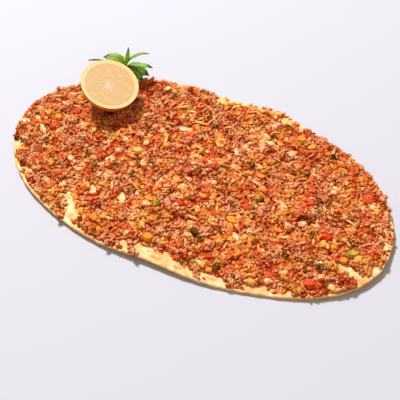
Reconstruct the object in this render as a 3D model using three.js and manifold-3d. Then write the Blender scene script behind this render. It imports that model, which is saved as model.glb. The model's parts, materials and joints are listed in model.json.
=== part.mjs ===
// A long oval lahmacun: thin flatbread under a baked layer of minced meat and diced vegetables,
// garnished with half a lemon, cut face up, and a sprig of mint that leans behind it.
// Millimetres, +Z up. +X runs along the bread's long axis. The origin is the middle of the flat underside.
import * as THREE from 'three';
import { mergeVertices } from 'three/addons/utils/BufferGeometryUtils.js';
import Module from 'manifold-3d';

const wasm = await Module();
wasm.setup();

// ---- Driving dimensions, in millimetres and degrees ----

const CLEARANCE = 0.3; // between any two pieces

const BREAD = {
  halfLength: 183.5,
  halfWidth: 104.5,
  thickness: 3,
  edgeRounding: 1.1,
  edgeLift: 3.4, // how far the highest stretch of edge curls up
  flatShare: 0.6, // share of the radius that lies flat
};
// The hand-rolled outline swells and shrinks in a few slow waves; peak is the angle of one crest.
const OUTLINE_WAVES = [
  { waves: 3, depth: 0.0135, peak: -29 },
  { waves: 4, depth: 0.0145, peak: -34 },
  { waves: 5, depth: 0.0025, peak: -25 },
  { waves: 7, depth: 0.006, peak: 26 },
  { waves: 8, depth: 0.009, peak: -16 },
];

const TOPPING = {
  thickness: 3.2,
  edgeThickness: 1.3,
  taper: 12, // width of the band where it thins towards the edge
  margin: 2.2, // bare bread left round it, on average
  marginSwing: 1.9,
  lump: 1.9, // height of the core's lumps
  grid: 10.6, // spacing of the core's surface points
};

// Where the topping leaves the bread bare: centre, length, width and turn.
const BARE_PATCHES = [
  { x: 23, y: -98, length: 40, width: 16, turn: -4 },
  { x: -72, y: -86, length: 13, width: 24, turn: -24 },
  { x: 62, y: -95, length: 22, width: 11, turn: 12 },
  { x: 158, y: -40, length: 33, width: 8, turn: -26 },
  { x: 114, y: -80, length: 20, width: 7, turn: 22 },
  { x: -156, y: -22, length: 15, width: 7, turn: 50 },
  { x: -35, y: 45, length: 11, width: 8, turn: 10 },
  { x: -48, y: -58, length: 18, width: 7, turn: 42 },
  { x: 69, y: -78, length: 10, width: 8, turn: 0 },
];
const BLISTERS = [
  { x: 11, y: -95, length: 17, width: 6.5, height: 2.4, turn: -4 },
  { x: 31, y: -95.5, length: 13, width: 6, height: 1.9, turn: 6 },
  { x: -75, y: -89, length: 9, width: 8, height: 1.8, turn: 30 },
  { x: 60, y: -92, length: 12, width: 6, height: 1.7, turn: 10 },
  { x: 161, y: -42, length: 11, width: 5, height: 1.8, turn: -35 },
];

// The largest diced vegetables, each a piece of its own: centre, length, width, height and turn.
const VEGETABLES = {
  red_pepper: [
    { x: -142, y: -9, length: 11.5, width: 9, height: 5, turn: 20 },
    { x: -135, y: 17, length: 10, width: 7, height: 4.6, turn: -15 },
    { x: 128, y: -16, length: 13, width: 9.5, height: 5, turn: 35 },
    { x: 103, y: 13, length: 9.5, width: 8, height: 4.8, turn: 75 },
    { x: 132, y: -65, length: 12, width: 8.5, height: 5.4, turn: -5 },
    { x: 6, y: -38, length: 12, width: 6, height: 4.4, turn: 8 },
  ],
  yellow_pepper: [
    { x: -147, y: 4, length: 10, width: 9, height: 4.6, turn: -35 },
    { x: -58, y: -1, length: 13, width: 9, height: 4.8, turn: 25 },
    { x: -39, y: 17, length: 9, width: 8, height: 5, turn: 60 },
    { x: -2, y: -83, length: 10.5, width: 9, height: 5.2, turn: 15 },
    { x: 51, y: -35, length: 14, width: 8, height: 4.6, turn: -20 },
    { x: 68, y: 78, length: 12, width: 10, height: 5.2, turn: -50 },
  ],
  green_pepper: [
    { x: 153, y: -24, length: 13, width: 8, height: 5, turn: 30 },
    { x: -14, y: -47, length: 11, width: 8.5, height: 4.6, turn: 70 },
  ],
  onion: [
    { x: 62, y: -50, length: 14, width: 5.5, height: 4.2, turn: -42 },
    { x: 45, y: 61, length: 14, width: 5.5, height: 4.2, turn: 5 },
  ],
};
const COLOURS = {
  bread: 0xf0d09a,
  topping: 0xb5673f,
  red_pepper: 0xcf3a1e,
  yellow_pepper: 0xe8a030,
  green_pepper: 0x8c9a2c,
  onion: 0xf0bd84,
  lemon: 0xf3cd92,
  mint: 0x5f8f35,
};

const LEMON = {
  rimRadius: 27,
  domeRadius: 27.3,
  domeHeight: 23.6, // cut a little past the lemon's middle
  footRadius: 6, // the trimmed end it stands on
  face: new THREE.Vector3(-112.2, 43.6, 30.2), // centre of the cut face
  tilt: 19, // the cut face leans towards +X
  lean: 5, // and a little towards -Y
  segments: 10,
  rind: 4.4, // peel and pith seen on the cut face
  relief: 0.5, // how far the pulp sinks between its walls
};

const MINT = {
  crown: new THREE.Vector3(-116.5, 79.4, 23), // where the leaves spread from the stem
  foot: new THREE.Vector3(-110, 68, 6.3), // where the stem dips into the topping
  stemRadius: 1,
  crownRadius: 1.7,
  leafThickness: 0.7,
};
// The share of a leaf's length at each of its cross-sections, with the width there as a share of its widest.
const LEAF_PROFILE = [
  { share: 0, width: 0.1 },
  { share: 0.1, width: 0.34 },
  { share: 0.28, width: 0.86 },
  { share: 0.48, width: 1 },
  { share: 0.68, width: 0.82 },
  { share: 0.86, width: 0.44 },
  { share: 1, width: 0.06 },
];
// One leaf each: heading from +X, rise above level, length, width, droop of its tip and roll about its rib.
const MINT_LEAVES = [
  { heading: 205, rise: 24, length: 36, width: 8, droop: 22, roll: 44 },
  { heading: 194, rise: 50, length: 26, width: 12, droop: 84, roll: -12 },
  { heading: 64, rise: 76, length: 19.5, width: 4.6, droop: 8, roll: 80 },
  { heading: 44, rise: 66, length: 28.5, width: 6.5, droop: 72, roll: -44 },
  { heading: 30, rise: 2, length: 25, width: 11, droop: 18, roll: -14 },
  { heading: 24, rise: -18, length: 24, width: 14, droop: 24, roll: 8 },
  { heading: 3, rise: -27, length: 21.5, width: 11, droop: 24, roll: 4 },
];

// ---- Small helpers ----

const TURN = 2 * Math.PI;
const radians = THREE.MathUtils.degToRad;
const { lerp, smoothstep } = THREE.MathUtils;

// A repeatable source of numbers from 0 to 1.
function seeded(seed) {
  let state = seed;
  return () => {
    state = (state + 0x6d2b79f5) | 0;
    let t = Math.imul(state ^ (state >>> 15), 1 | state);
    t = (t + Math.imul(t ^ (t >>> 7), 61 | t)) ^ t;
    return ((t ^ (t >>> 14)) >>> 0) / 4294967296;
  };
}
const between = (random, low, high) => lerp(low, high, random());

// A smooth bumpy height from -1 to 1 whose bumps are about `size` across.
function bumps(x, y, size, seed) {
  const corner = (i, j) => {
    const h = Math.sin(i * 127.1 + j * 311.7 + seed * 74.7) * 43758.5453;
    return 2 * (h - Math.floor(h)) - 1;
  };
  const i = Math.floor(x / size), j = Math.floor(y / size);
  const u = smoothstep(x / size - i, 0, 1), v = smoothstep(y / size - j, 0, 1);
  return lerp(lerp(corner(i, j), corner(i + 1, j), u), lerp(corner(i, j + 1), corner(i + 1, j + 1), u), v);
}

function closedGeometry(points, faces) {
  const geometry = new THREE.BufferGeometry().setFromPoints(points);
  geometry.setIndex(faces.flat());
  return geometry;
}

// Joins closed rings of equal length, listed from bottom to top and turning anticlockwise seen from above.
function loft(rings) {
  const count = rings[0].length;
  const centre = (ring) => ring.reduce((sum, p) => sum.add(p), new THREE.Vector3()).divideScalar(count);
  const points = [...rings.flat(), centre(rings[0]), centre(rings.at(-1))];
  const [bottom, top] = [points.length - 2, points.length - 1];
  const faces = [];
  for (let k = 0; k < count; k++) {
    const next = (k + 1) % count;
    faces.push([bottom, next, k]);
    for (let r = 0; r + 1 < rings.length; r++) {
      const [a, b] = [r * count + k, r * count + next];
      faces.push([a, b, b + count], [a, b + count, a + count]);
    }
    faces.push([top, (rings.length - 1) * count + k, (rings.length - 1) * count + next]);
  }
  return closedGeometry(points, faces);
}

// A level ring about the origin, anticlockwise, with its radius at each corner given by reach(angle, k).
function ring(corners, z, reach) {
  return Array.from({ length: corners }, (_, k) => {
    const angle = (k / corners) * TURN;
    const radius = reach(angle, k);
    return new THREE.Vector3(radius * Math.cos(angle), radius * Math.sin(angle), z);
  });
}

const placement = ({ x, y, z = 0, turn = 0 }) =>
  new THREE.Matrix4().makeRotationZ(radians(turn)).setPosition(x, y, z);

function solidOf(geometry, matrix = new THREE.Matrix4()) {
  const bare = geometry.clone().deleteAttribute('normal').deleteAttribute('uv');
  const merged = mergeVertices(bare.applyMatrix4(matrix), 1e-4);
  return new wasm.Manifold(new wasm.Mesh({
    numProp: 3,
    vertProperties: Float32Array.from(merged.getAttribute('position').array),
    triVerts: Uint32Array.from(merged.index.array),
  }));
}

function geometryOf(body) {
  const { vertProperties, triVerts } = body.getMesh();
  const geometry = new THREE.BufferGeometry();
  geometry.setAttribute('position', new THREE.BufferAttribute(vertProperties.slice(), 3));
  geometry.setIndex(new THREE.BufferAttribute(triVerts.slice(), 1));
  return geometry;
}

const join = (solids) => solids.reduce((whole, next) => whole.add(next));
const largestBody = (body) => body.decompose().sort((a, b) => b.volume() - a.volume())[0];

// ---- The bread's outline and heights ----

function outline(angle) {
  const { halfLength, halfWidth } = BREAD;
  const oval = 1 / Math.hypot(Math.cos(angle) / halfLength, Math.sin(angle) / halfWidth);
  const swell = OUTLINE_WAVES.reduce(
    (sum, { waves, depth, peak }) => sum + depth * Math.cos(waves * (angle - radians(peak))), 1);
  return oval * swell;
}
const shareOfRadius = (x, y) => Math.hypot(x, y) / outline(Math.atan2(y, x));

// Distance from (x, y) in to the bread's edge, negative outside it.
function edgeDistance(x, y) {
  const step = 0.5;
  const slope = Math.hypot(
    shareOfRadius(x + step, y) - shareOfRadius(x - step, y),
    shareOfRadius(x, y + step) - shareOfRadius(x, y - step)) / (2 * step);
  return (1 - shareOfRadius(x, y)) / Math.max(slope, 1e-4);
}

// The curl of the bread: flat in the middle, lifting by an uneven amount towards the edge.
function curl(x, y) {
  const angle = Math.atan2(y, x);
  const away = Math.max(0, (shareOfRadius(x, y) - BREAD.flatShare) / (1 - BREAD.flatShare));
  const unevenness = 0.45 + 0.3 * Math.sin(3 * angle + 0.6) + 0.25 * Math.sin(5 * angle + 2.1);
  return BREAD.edgeLift * Math.max(0, unevenness) * Math.min(away, 1.1) ** 2;
}
const breadTop = (x, y) => BREAD.thickness + curl(x, y);

// ---- Solids bounded by heights ----

const CORNERS = 80; // points round the bread's edge
const FAR_BELOW = -20;
const FAR_ABOVE = 60;

// A ring at a share of the outline's radius, moved in by inset(angle), lying on height(x, y).
function outlineRing(share, inset, height, corners = CORNERS) {
  const points = ring(corners, 0, (angle) => share * outline(angle) - inset(angle));
  return points.map((p) => p.setZ(height(p.x, p.y)));
}

// The bread's upper surface as rings from the edge to the flat middle, raised by `lift`.
const SURFACE_SHARES = [0.87, 0.74, BREAD.flatShare];
function upperRings(lift) {
  const height = (x, y) => breadTop(x, y) + lift;
  const edge = outlineRing(1, () => BREAD.edgeRounding, height);
  return [edge, ...SURFACE_SHARES.map((share) => outlineRing(share, () => 0, height))];
}

// Everything above the bread's upper surface once that is raised by `lift`.
function spaceOverBread(lift) {
  const outside = outlineRing(1.06, () => 0, (x, y) => breadTop(x, y) + lift);
  const roof = outlineRing(1.06, () => 0, () => FAR_ABOVE);
  return solidOf(loft([...[outside, ...upperRings(lift)].reverse(), roof]));
}

// The space under a height over a rectangle that covers the bread, on a square grid of points.
function spaceUnder(height, spacing) {
  const columns = Math.ceil((2 * BREAD.halfLength + 20) / spacing);
  const rows = Math.ceil((2 * BREAD.halfWidth + 20) / spacing);
  const points = [];
  for (let j = 0; j <= rows; j++) {
    for (let i = 0; i <= columns; i++) {
      const [x, y] = [(i - columns / 2) * spacing, (j - rows / 2) * spacing];
      points.push(new THREE.Vector3(x, y, height(x, y)));
    }
  }
  const at = (i, j) => j * (columns + 1) + i;
  const rim = [];
  for (let i = 0; i < columns; i++) rim.push(at(i, 0));
  for (let j = 0; j < rows; j++) rim.push(at(columns, j));
  for (let i = columns; i > 0; i--) rim.push(at(i, rows));
  for (let j = rows; j > 0; j--) rim.push(at(0, j));
  const foot = points.length;
  rim.forEach((k) => points.push(points[k].clone().setZ(FAR_BELOW)));
  const middle = points.length;
  points.push(new THREE.Vector3(0, 0, FAR_BELOW));
  const faces = [];
  for (let j = 0; j < rows; j++) {
    for (let i = 0; i < columns; i++) {
      const [a, b, c, d] = [at(i, j), at(i + 1, j), at(i + 1, j + 1), at(i, j + 1)];
      faces.push([a, b, c], [a, c, d]);
    }
  }
  rim.forEach((here, k) => {
    const next = (k + 1) % rim.length;
    faces.push([foot + k, foot + next, rim[next]], [foot + k, rim[next], here]);
    faces.push([middle, foot + next, foot + k]);
  });
  return solidOf(closedGeometry(points, faces));
}

// ---- Pieces of the topping ----

// A rough block standing on the origin, long along X, with uneven corners and a narrower top.
const BLOCK_LEVELS = [
  { rise: 0, share: 0.8 },
  { rise: 0.45, share: 1 },
  { rise: 1, share: 0.72 },
];
function block({ length, width, height }, random, sides = 6, grow = 0) {
  const unevenness = Array.from({ length: sides }, () => between(random, 0.84, 1.12));
  return loft(BLOCK_LEVELS.map(({ rise, share }) => {
    const z = height * rise + grow * (2 * rise - 1) * 1.4;
    return ring(sides, z, (angle, k) => {
      const oval = 1 / Math.hypot(Math.cos(angle) / (length / 2), Math.sin(angle) / (width / 2));
      return oval * share * unevenness[k] + grow * 1.3;
    });
  }));
}

// A crumb of minced meat about the origin: a rough, squashed pebble with twenty faces.
function crumb(size, random) {
  const pebble = new THREE.IcosahedronGeometry(size / 2, 0).deleteAttribute('normal').deleteAttribute('uv');
  const merged = mergeVertices(pebble.scale(1, between(random, 0.7, 1), between(random, 0.6, 0.85)));
  const place = merged.getAttribute('position');
  for (let k = 0; k < place.count; k++) {
    const rough = between(random, 0.8, 1.2);
    place.setXYZ(k, place.getX(k) * rough, place.getY(k) * rough, place.getZ(k) * rough);
  }
  return merged;
}

// The uneven oval of a bare patch or of a blister, about the origin.
function patchRing({ length, width }, random, z, share = 1) {
  return ring(14, z, (angle) => {
    const oval = 1 / Math.hypot(Math.cos(angle) / (length / 2), Math.sin(angle) / (width / 2));
    return oval * share * between(random, 0.88, 1.12);
  });
}
function bareHole(patch, seed) {
  const column = loft([patchRing(patch, seeded(seed), FAR_BELOW), patchRing(patch, seeded(seed), FAR_ABOVE)]);
  return solidOf(column, placement(patch));
}
function blister(spot, seed, grow = 0) {
  const sunk = 1;
  const rise = spot.height + sunk + grow;
  const grown = { ...spot, length: spot.length + 3 * grow, width: spot.width + 3 * grow };
  const dome = loft([
    patchRing(grown, seeded(seed), 0),
    patchRing(grown, seeded(seed), rise * 0.6, 0.86),
    patchRing(grown, seeded(seed), rise, 0.45),
  ]);
  return solidOf(dome, placement({ ...spot, z: breadTop(spot.x, spot.y) - sunk }));
}
const blisters = (grow = 0) => BLISTERS.map((spot, k) => blister(spot, 40 + k, grow));

// ---- Bread ----

function bread() {
  const { thickness, edgeRounding, flatShare } = BREAD;
  const sheet = loft([
    outlineRing(flatShare, () => 0, curl),
    outlineRing(0.8, () => 0, curl),
    outlineRing(1, () => edgeRounding * 1.3, (x, y) => curl(x, y) + 0.1),
    outlineRing(1, () => 0, (x, y) => curl(x, y) + thickness * 0.5),
    ...upperRings(0),
  ]);
  return join([solidOf(sheet), ...blisters()]);
}

// ---- Topping ----

function toppingMargin(angle) {
  const swing = Math.sin(9 * angle + 1) * 0.5 + Math.sin(17 * angle) * 0.3 + Math.sin(29 * angle + 2) * 0.35;
  return Math.max(0.5, TOPPING.margin + TOPPING.marginSwing * swing);
}

function coreTop(x, y) {
  const { thickness, edgeThickness, taper, lump } = TOPPING;
  const fullness = smoothstep(edgeDistance(x, y), TOPPING.margin, TOPPING.margin + taper);
  const lumps = 0.4 * bumps(x, y, 24, 1) + 0.6 * bumps(x, y, 9, 2);
  const layer = lerp(edgeThickness, thickness, fullness);
  return breadTop(x, y) + CLEARANCE + layer + lump * lumps * (0.4 + 0.6 * fullness);
}

const isBare = (x, y, reach) => BARE_PATCHES.some((patch) => {
  const [dx, dy, turn] = [x - patch.x, y - patch.y, radians(patch.turn)];
  const along = (dx * Math.cos(turn) + dy * Math.sin(turn)) / (patch.length / 2 + reach);
  const across = (dy * Math.cos(turn) - dx * Math.sin(turn)) / (patch.width / 2 + reach);
  return Math.hypot(along, across) < 1;
});

const largestPieces = Object.entries(VEGETABLES).flatMap(([kind, places]) =>
  places.map((place, k) => ({ ...place, kind, name: `${kind}_${k + 1}`, seed: 500 + 31 * k + kind.length })));
const SUNK = 2.4; // how deep a large piece sits in the topping, where that is deep enough
largestPieces.forEach((piece) => {
  piece.z = Math.max(coreTop(piece.x, piece.y) - SUNK, breadTop(piece.x, piece.y) + 3 * CLEARANCE);
});
const nearLargePiece = (x, y, reach) =>
  largestPieces.some((piece) => Math.hypot(x - piece.x, y - piece.y) < piece.length / 2 + reach);

// Places on a jittered triangular grid, so that the pieces are spread evenly over the oval.
function spreadPlaces(spacing, random) {
  const places = [];
  const rise = spacing * Math.sqrt(3) / 2;
  const rows = Math.ceil(BREAD.halfWidth / rise);
  const columns = Math.ceil(BREAD.halfLength / spacing);
  for (let row = -rows; row < rows; row++) {
    for (let column = -columns - 1; column < columns; column++) {
      const shift = row % 2 ? 0.5 : 0;
      const x = (column + shift + between(random, -0.3, 0.3)) * spacing;
      const y = row * rise + between(random, -0.3, 0.3) * spacing;
      places.push({ x, y });
    }
  }
  return places;
}

const PIECE_SPACING = 26;
const SMALL_PIECES = [
  { upTo: 0.62, make: (random) => crumb(between(random, 7, 10), random) },
  { upTo: 0.86, make: (random) => dice([6, 8.5], [5, 7], random) }, // pepper and tomato
  { upTo: 1, make: (random) => dice([9, 12], [3.5, 4.5], random) }, // strips of onion
];
function dice(lengths, widths, random) {
  const size = { length: between(random, ...lengths), width: between(random, ...widths), height: 3.4 };
  return block(size, random, 5).translate(0, 0, -1.6);
}

function smallPieces(random) {
  const roomForPiece = 5.5;
  return spreadPlaces(PIECE_SPACING, random)
    .filter(({ x, y }) => edgeDistance(x, y) > 4.5 && !isBare(x, y, 3) && !nearLargePiece(x, y, roomForPiece))
    .filter(({ x, y }) => Math.hypot(x - LEMON.face.x, y - LEMON.face.y) > 15)
    .filter(({ x, y }) => Math.hypot(x - MINT.foot.x, y - MINT.foot.y) > 8)
    .map(({ x, y }) => {
      const pick = random();
      const { make } = SMALL_PIECES.find(({ upTo }) => pick <= upTo);
      return solidOf(make(random), placement({ x, y, z: coreTop(x, y) + 0.6, turn: random() * 360 }));
    });
}

// Crumbs along the topping's edge, which make its outline uneven.
function edgeCrumbs(random) {
  const spacing = 25;
  const crumbs = [];
  let angle = 0;
  while (angle < TURN) {
    const radius = outline(angle) - toppingMargin(angle) - between(random, -0.2, 2.6);
    const [x, y] = [radius * Math.cos(angle), radius * Math.sin(angle)];
    if (!isBare(x, y, 2) && !nearLargePiece(x, y, 4)) {
      const place = placement({ x, y, z: breadTop(x, y) + 2.4, turn: random() * 360 });
      crumbs.push(solidOf(crumb(between(random, 5, 7.4), random), place));
    }
    angle += spacing / radius;
  }
  return crumbs;
}

function topping(seats) {
  const wall = solidOf(loft([FAR_BELOW, FAR_ABOVE].map((z) => outlineRing(1, toppingMargin, () => z, 100))));
  const bare = join(BARE_PATCHES.map((patch, k) => bareHole(patch, 80 + k)));
  const core = spaceUnder(coreTop, TOPPING.grid).intersect(wall).subtract(bare);
  const random = seeded(2024);
  const heap = join([core, ...smallPieces(random), ...edgeCrumbs(random)]);
  return largestBody(heap.intersect(spaceOverBread(CLEARANCE)).subtract(join(seats)));
}

// ---- Lemon half ----

// Standing on its trimmed end with the middle of its cut face at the origin and its axis along +Z.
function lemonHalf(grow = 0) {
  const { rimRadius, domeRadius, domeHeight, footRadius, segments, rind, relief } = LEMON;
  const level = (r, z, sink = 0) => {
    const points = ring(segments * 4, z, () => r);
    points.forEach((p, k) => p.setZ(z - (k % 4 === 0 ? 0 : sink))); // every fourth point is on a wall
    return points;
  };
  const domeRings = 5;
  const start = Math.asin(footRadius / domeRadius);
  const end = Math.asin(rimRadius / domeRadius);
  const centre = domeRadius * Math.cos(start) - domeHeight; // of the dome's sphere, above the cut face
  const dome = Array.from({ length: domeRings }, (_, k) => {
    const angle = lerp(start, end, k / (domeRings - 1));
    const [r, z] = [domeRadius * Math.sin(angle), centre - domeRadius * Math.cos(angle)];
    return level(r + grow, Math.min(z, -0.8) - grow);
  });
  return loft([
    ...dome,
    level(rimRadius - 0.4 + grow, grow),
    level(rimRadius - rind, grow),
    level(rimRadius - rind - 1.2, grow, relief),
    level(rimRadius * 0.45, grow, relief),
    level(2.6, grow + 0.2),
  ]);
}

// ---- Mint ----

function leaf({ heading, rise, length, width, droop, roll }) {
  const fold = 0.3; // how far the two halves rise from the rib, as a share of their width
  const start = MINT.crownRadius * 0.4; // leaves begin inside the crown
  const rings = [];
  let [along, up, last] = [start, 0, 0];
  for (const { share, width: fullness } of LEAF_PROFILE) {
    const bend = radians(-droop * share);
    along += (share - last) * length * Math.cos(bend);
    up += (share - last) * length * Math.sin(bend);
    last = share;
    const reach = (width / 2) * fullness;
    const wave = 0.07 * width * Math.sin(share * 9);
    const half = (MINT.leafThickness / 2) * (share === 1 ? 0.7 : 1);
    const section = [-1, -0.5, 0, 0.5, 1].map(
      (side) => [side * reach, Math.abs(side) * reach * fold + side * side * wave]);
    const upper = section.map(([across, lift]) => new THREE.Vector3(along, across, up + lift + half));
    const under = section.map(([across, lift]) => new THREE.Vector3(along, across, up + lift - half));
    rings.push([...under, ...upper.reverse()]);
  }
  const turned = new THREE.Matrix4()
    .makeRotationZ(radians(heading))
    .multiply(new THREE.Matrix4().makeRotationY(radians(-rise)))
    .multiply(new THREE.Matrix4().makeRotationX(radians(roll)));
  return loft(rings.map((ring) => ring.map((p) => p.applyMatrix4(turned))));
}

// The sprig about its crown. The stem starts on the topping and ends in the knot where the leaves meet.
function mintSprig(grow = 0) {
  const { crown, crownRadius, stemRadius } = MINT;
  const around = (centre, radius) => ring(7, 0, () => radius).map((p) => p.add(centre));
  const foot = MINT.foot.clone().sub(crown);
  const bow = foot.clone().multiplyScalar(0.5).add(new THREE.Vector3(3, 3, 0));
  const route = new THREE.QuadraticBezierCurve3(foot, bow, new THREE.Vector3(0, 0, -crownRadius));
  const stem = route.getPoints(4).map((point) => around(point, stemRadius + grow));
  stem.unshift(around(foot.clone().add(new THREE.Vector3(0, 0, -grow)), stemRadius + grow));
  if (grow) return solidOf(loft(stem));
  stem.shift();
  const knot = [-0.3, 0.6, 1].map((rise) => {
    const radius = crownRadius * (rise === 1 ? 0.35 : 1);
    return around(new THREE.Vector3(0, 0, rise * crownRadius), radius);
  });
  return join([loft([...stem, ...knot]), ...MINT_LEAVES.map(leaf)].map((part) => solidOf(part)));
}

// ---- Assembly ----

function namedMesh(name, geometry, colour, roughness) {
  const finish = { color: colour, roughness, metalness: 0, flatShading: true };
  const mesh = new THREE.Mesh(geometry, new THREE.MeshStandardMaterial(finish));
  mesh.name = name;
  return mesh;
}

const lahmacun = new THREE.Group();
lahmacun.add(namedMesh('bread', geometryOf(bread()), COLOURS.bread, 0.8));

const garnish = new THREE.Group();
const lemon = namedMesh('lemon_half', lemonHalf(), COLOURS.lemon, 0.35);
lemon.position.copy(LEMON.face);
lemon.rotation.set(radians(LEMON.lean), radians(LEMON.tilt), 0);
lemon.updateMatrix();
const sprig = namedMesh('mint_sprig', geometryOf(mintSprig()), COLOURS.mint, 0.5);
sprig.position.copy(MINT.crown);
sprig.updateMatrix();
garnish.add(lemon, sprig);

// Every piece that sinks into the topping leaves a seat in it, a little larger than itself.
const seats = [
  solidOf(lemonHalf(CLEARANCE), lemon.matrix),
  solidOf(geometryOf(mintSprig(CLEARANCE)), sprig.matrix),
  ...blisters(CLEARANCE),
];
const vegetables = new THREE.Group();
for (const piece of largestPieces) {
  const mesh = namedMesh(piece.name, block(piece, seeded(piece.seed)), COLOURS[piece.kind], 0.45);
  mesh.position.set(piece.x, piece.y, piece.z);
  mesh.rotation.z = radians(piece.turn);
  mesh.updateMatrix();
  vegetables.add(mesh);
  seats.push(solidOf(block(piece, seeded(piece.seed), 6, CLEARANCE), mesh.matrix));
}
lahmacun.add(namedMesh('topping', geometryOf(topping(seats)), COLOURS.topping, 0.6), vegetables, garnish);

export default lahmacun;
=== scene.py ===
# A long oval lahmacun: thin flatbread under a baked layer of minced meat and diced vegetables,
# garnished with half a lemon, cut face up, and a sprig of mint. Metres, +Z up.
import json
import math

import bpy
import numpy as np
from mathutils import Matrix, Vector, noise
from mathutils.bvhtree import BVHTree

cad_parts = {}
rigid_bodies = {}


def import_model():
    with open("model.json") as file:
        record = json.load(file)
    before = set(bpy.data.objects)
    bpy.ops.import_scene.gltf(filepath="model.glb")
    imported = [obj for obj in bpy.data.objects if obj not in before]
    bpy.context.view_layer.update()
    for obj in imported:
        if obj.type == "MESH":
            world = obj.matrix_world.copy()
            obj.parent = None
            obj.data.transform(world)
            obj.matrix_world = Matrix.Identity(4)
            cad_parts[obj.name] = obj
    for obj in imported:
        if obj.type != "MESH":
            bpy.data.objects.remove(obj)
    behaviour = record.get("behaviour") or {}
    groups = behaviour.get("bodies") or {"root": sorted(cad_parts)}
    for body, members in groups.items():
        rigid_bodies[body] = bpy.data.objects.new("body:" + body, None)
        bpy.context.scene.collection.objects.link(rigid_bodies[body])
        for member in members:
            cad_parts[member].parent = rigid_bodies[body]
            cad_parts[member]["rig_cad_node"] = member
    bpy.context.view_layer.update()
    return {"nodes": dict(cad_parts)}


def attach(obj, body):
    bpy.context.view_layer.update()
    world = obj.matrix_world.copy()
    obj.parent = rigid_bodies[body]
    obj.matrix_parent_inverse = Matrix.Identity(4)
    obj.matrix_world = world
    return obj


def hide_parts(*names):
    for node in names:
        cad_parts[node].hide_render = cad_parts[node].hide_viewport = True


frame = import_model()

MM = 0.001
TURN = 2 * math.pi

# ---- Sizes, in millimetres and degrees ----

BREAD_LENGTH = 367
BREAD_WIDTH = 209
BREAD_THICKNESS = 3
BREAD_EDGE_LIFT = 3.4
FLAT_SHARE = 0.6  # share of the radius that lies flat
# Waves around the outline: how many, their depth as a share of the radius, and where one peaks.
OUTLINE_WAVES = ((3, 0.0135, -29), (4, 0.0145, -34), (5, 0.0025, -25), (7, 0.006, 26), (8, 0.009, -16))
# Centre, length, width, height and turn of each blister in the bare bread.
BLISTERS = (
    (11, -95, 17, 6.5, 2.4, -4),
    (31, -95.5, 13, 6, 1.9, 6),
    (-75, -89, 9, 8, 1.8, 30),
    (60, -92, 12, 6, 1.7, 10),
    (161, -42, 11, 5, 1.8, -35),
)

# Centre, length, width and turn of each small spot where the topping thins out and the bread shows.
BARE_SPOTS = (
    (-19, 97, 20, 9, 12), (-2, 101, 16, 6, -4), (18, 101, 12, 6, 0), (45, 97, 14, 7, -25),
    (61, 94, 10, 6, -60), (-66, 95, 12, 7, 40), (-174, -11, 18, 7, 5), (-162, -41, 14, 8, -40),
    (-157, 24, 13, 7, 60), (-150, 42, 12, 6, 30), (-35, 44, 14, 9, 30), (-46, -52, 13, 9, -45),
    (-74, -86, 18, 10, -50), (-19, -96, 12, 6, -40), (174, -29, 12, 7, -65), (147, -58, 10, 7, 70),
    (174, -2, 12, 6, -55), (-82, -23, 11, 7, 58), (-73, -56, 10, 7, -75), (-26, -23, 13, 6, 90),
    (28, 50, 13, 6, -36), (-100, -62, 12, 7, -60), (10, -94, 42, 14, -3), (36, -97, 28, 8, 4),
    (63, -92, 26, 9, -3), (99, -84, 28, 6, 20), (157, -38, 38, 8, -16), (-133, -62, 18, 6, 0),
    (-158, -9, 28, 6, -38), (-84, -77, 34, 8, -43),
)
# The same for the spots where the meat is browned the most, and where the crumbs reach the very edge.
BROWNED_SPOTS = (
    (158, -53, 26, 18, 10), (137, -64, 20, 12, 20), (-170, -25, 16, 14, 0), (173, -18, 18, 12, -70),
    (123, -51, 14, 10, 0),
)
OVERHANGS = ((138, -71, 22, 12, 20), (160, -54, 14, 10, 40))

CORE_GRID = 0.85  # spacing of the core's points
CORE_FILLED = 0.93  # share of the radius inside which the core has no gaps
CORE_SUNK = 0.3  # how far the core lies under the finished surface
CORE_BURIED = 1.2  # how far it dips under the crust in the bare spots
CORE_COVER = 0.4  # how far it stands over the crust elsewhere, at least
CLUMP_SIZE = 8  # how far apart the clumps of crumbs lie
RELIEF = 7  # from the deepest crevice to the highest crumb
GROUND_GRID = 4  # spacing of the heights from which the crevices are told
GROUND_REACH = (196, 120)  # how far from the middle these heights are known, along X and along Y

CRUMB_SPACING = 2.7
CRUMB_SIZES = ((2.2, 4.8), (1.6, 3.2), (1.4, 2.5))
CRUMB_CLEARANCE = 1  # from a crumb's spot to the garnish
GRAIN_SPACING = 2.7
GRAIN_SIZES = ((0.9, 2.2), (0.7, 1.5), (0.7, 1.2))
GRAIN_CLEARANCE = 0.8
JITTER = 0.9  # how far a place may be off its grid, as a share of the spacing
SPREAD_MARGIN = 6  # how far the grid goes past the bread's sides
BIT_SUNK = 0.3  # how far a small bit sinks into the core
LOWEST_BIT = 0.2  # no bit reaches lower over the table
COVERED_SHARE = 0.26  # a bit takes the spots within this share of its length and width together
BARE_LIMIT = 1.2  # how bare a place may be that still has a crumb
BARE_SCATTER = 0.35  # by how much this limit varies
BARE_GRAIN_LIMIT = 1.25
STEEPEST = 0.15  # how far the ground under a bit faces up, at least
DICE_SHOULDER = 0.85  # grains lie on the large dice only where these face up less than this
# Shares of the radius: where the small bits and the loose crumbs end, how much further the crumbs reach in
# the overhangs and less far along the front, and how uneven their end is.
STREWN_END = 0.95
CRUMBS_END = 0.991
OVERHANG = 0.008
FRONT_GAP = 0.016
END_UNEVENNESS = 0.008
RIM_REACH = 0.955  # crumbs lie on the rim where the core reaches this share of the way to them

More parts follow.
